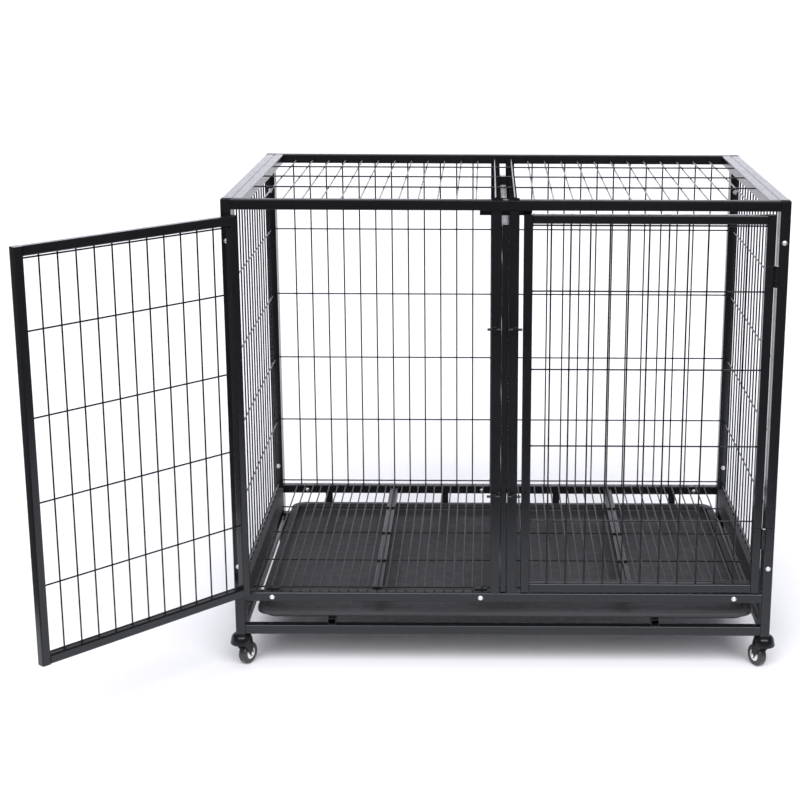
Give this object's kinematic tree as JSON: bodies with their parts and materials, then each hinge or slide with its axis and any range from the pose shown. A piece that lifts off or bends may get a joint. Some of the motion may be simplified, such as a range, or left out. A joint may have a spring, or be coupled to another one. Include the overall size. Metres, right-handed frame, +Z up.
{
  "type": "dog crate",
  "caption": "Dog crate of welded square tube and wire mesh with hinged doors, slide bolts, a sliding divider, a pull-out tray and swivel casters.",
  "frame": {"origin": "middle of the crate's footprint, on the floor", "axes": "+X to the right along the front, +Y to the rear, +Z up"},
  "size_m": [1.4241, 1.1348, 0.9795],
  "materials": {
    "powder_coat": "satin",
    "zinc": "satin",
    "tray_plastic": "matte",
    "black_plastic": "gloss",
    "wheel_rubber": "matte"
  },
  "bodies": {
    "frame": {"front_posts": "powder_coat", "rear_posts": "powder_coat", "post_caps": "black_plastic", "front_top_rail": "powder_coat", "rear_top_rail": "powder_coat", "front_sill": "powder_coat", "rear_sill": "powder_coat", "front_bottom_rail": "powder_coat", "rear_bottom_rail": "powder_coat", "front_centre_posts": "powder_coat", "rear_centre_posts": "powder_coat", "left_side_frame": "powder_coat", "right_side_frame": "powder_coat", "left_side_mesh": "powder_coat", "right_side_mesh": "powder_coat", "rear_mesh": "powder_coat", "roof_frame": "powder_coat", "roof_mesh": "powder_coat", "roof_bar_clips": "powder_coat", "centre_plate": "powder_coat", "floor_beams": "powder_coat", "left_floor_mesh": "powder_coat", "right_floor_mesh": "powder_coat", "floor_tabs": "powder_coat", "floor_bolts": "zinc", "post_bolts": "zinc", "bolt_nuts": "zinc", "tray_runners": "powder_coat", "tray_stops": "powder_coat", "post_hinge_leaves": "powder_coat", "hinge_pins": "zinc", "bolt_guides": "powder_coat", "caster_stems": "powder_coat"},
    "left_door": {"left_door_frame": "powder_coat", "left_door_mesh": "powder_coat", "left_door_hinge_leaves": "powder_coat", "left_door_keepers": "powder_coat"},
    "left_upper_bolt": {"left_upper_bolt": "powder_coat"},
    "left_lower_bolt": {"left_lower_bolt": "powder_coat"},
    "right_door": {"right_door_frame": "powder_coat", "right_door_mesh": "powder_coat", "right_door_hinge_leaves": "powder_coat", "right_door_keepers": "powder_coat"},
    "right_upper_bolt": {"right_upper_bolt": "powder_coat"},
    "right_lower_bolt": {"right_lower_bolt": "powder_coat"},
    "tray": {"tray": "tray_plastic"},
    "divider": {"divider_frame": "powder_coat", "divider_mesh": "powder_coat"},
    "front_left_swivel": {"front_left_fork": "black_plastic", "front_left_axle": "zinc"},
    "front_left_wheel": {"front_left_wheel": "wheel_rubber"},
    "front_right_swivel": {"front_right_fork": "black_plastic", "front_right_axle": "zinc"},
    "front_right_wheel": {"front_right_wheel": "wheel_rubber"},
    "rear_left_swivel": {"rear_left_fork": "black_plastic", "rear_left_axle": "zinc"},
    "rear_left_wheel": {"rear_left_wheel": "wheel_rubber"},
    "rear_right_swivel": {"rear_right_fork": "black_plastic", "rear_right_axle": "zinc"},
    "rear_right_wheel": {"rear_right_wheel": "wheel_rubber"}
  },
  "joints": [
    {"name": "left_door_hinge", "type": "hinge", "parent": "frame", "child": "left_door", "pos_m": [-0.52675, -0.367, 0.5], "axis": [0, 0, -1], "range_deg": [-133, 47]},
    {"name": "left_upper_bolt_slide", "type": "slide", "parent": "frame", "child": "left_upper_bolt", "axis": [-1, 0, 0], "range_m": [0, 0.012]},
    {"name": "left_lower_bolt_slide", "type": "slide", "parent": "frame", "child": "left_lower_bolt", "axis": [-1, 0, 0], "range_m": [0, 0.012]},
    {"name": "right_door_hinge", "type": "hinge", "parent": "frame", "child": "right_door", "pos_m": [0.52675, -0.367, 0.5], "axis": [0, 0, 1], "range_deg": [0, 180]},
    {"name": "right_upper_bolt_slide", "type": "slide", "parent": "frame", "child": "right_upper_bolt", "axis": [1, 0, 0], "range_m": [0, 0.012]},
    {"name": "right_lower_bolt_slide", "type": "slide", "parent": "frame", "child": "right_lower_bolt", "axis": [1, 0, 0], "range_m": [0, 0.012]},
    {"name": "tray_slide", "type": "slide", "parent": "frame", "child": "tray", "axis": [0, -1, 0], "range_m": [0, 0.65]},
    {"name": "divider_slide", "type": "slide", "parent": "frame", "child": "divider", "axis": [0, -1, 0], "range_m": [0, 0.65]},
    {"name": "front_left_swivel_turn", "type": "hinge", "parent": "frame", "child": "front_left_swivel", "pos_m": [-0.54, -0.3525, 0.06], "axis": [0, 0, 1], "continuous": true},
    {"name": "front_left_wheel_spin", "type": "hinge", "parent": "front_left_swivel", "child": "front_left_wheel", "pos_m": [-0.53061, -0.33484, 0.023], "axis": [-0.8829, 0.4695, 0], "continuous": true},
    {"name": "front_right_swivel_turn", "type": "hinge", "parent": "frame", "child": "front_right_swivel", "pos_m": [0.54, -0.3525, 0.06], "axis": [0, 0, 1], "continuous": true},
    {"name": "front_right_wheel_spin", "type": "hinge", "parent": "front_right_swivel", "child": "front_right_wheel", "pos_m": [0.53061, -0.33484, 0.023], "axis": [-0.8829, -0.4695, 0], "continuous": true},
    {"name": "rear_left_swivel_turn", "type": "hinge", "parent": "frame", "child": "rear_left_swivel", "pos_m": [-0.54, 0.3525, 0.06], "axis": [0, 0, 1], "continuous": true},
    {"name": "rear_left_wheel_spin", "type": "hinge", "parent": "rear_left_swivel", "child": "rear_left_wheel", "pos_m": [-0.53061, 0.37016, 0.023], "axis": [-0.8829, 0.4695, 0], "continuous": true},
    {"name": "rear_right_swivel_turn", "type": "hinge", "parent": "frame", "child": "rear_right_swivel", "pos_m": [0.54, 0.3525, 0.06], "axis": [0, 0, 1], "continuous": true},
    {"name": "rear_right_wheel_spin", "type": "hinge", "parent": "rear_right_swivel", "child": "rear_right_wheel", "pos_m": [0.53061, 0.37016, 0.023], "axis": [-0.8829, -0.4695, 0], "continuous": true}
  ]
}
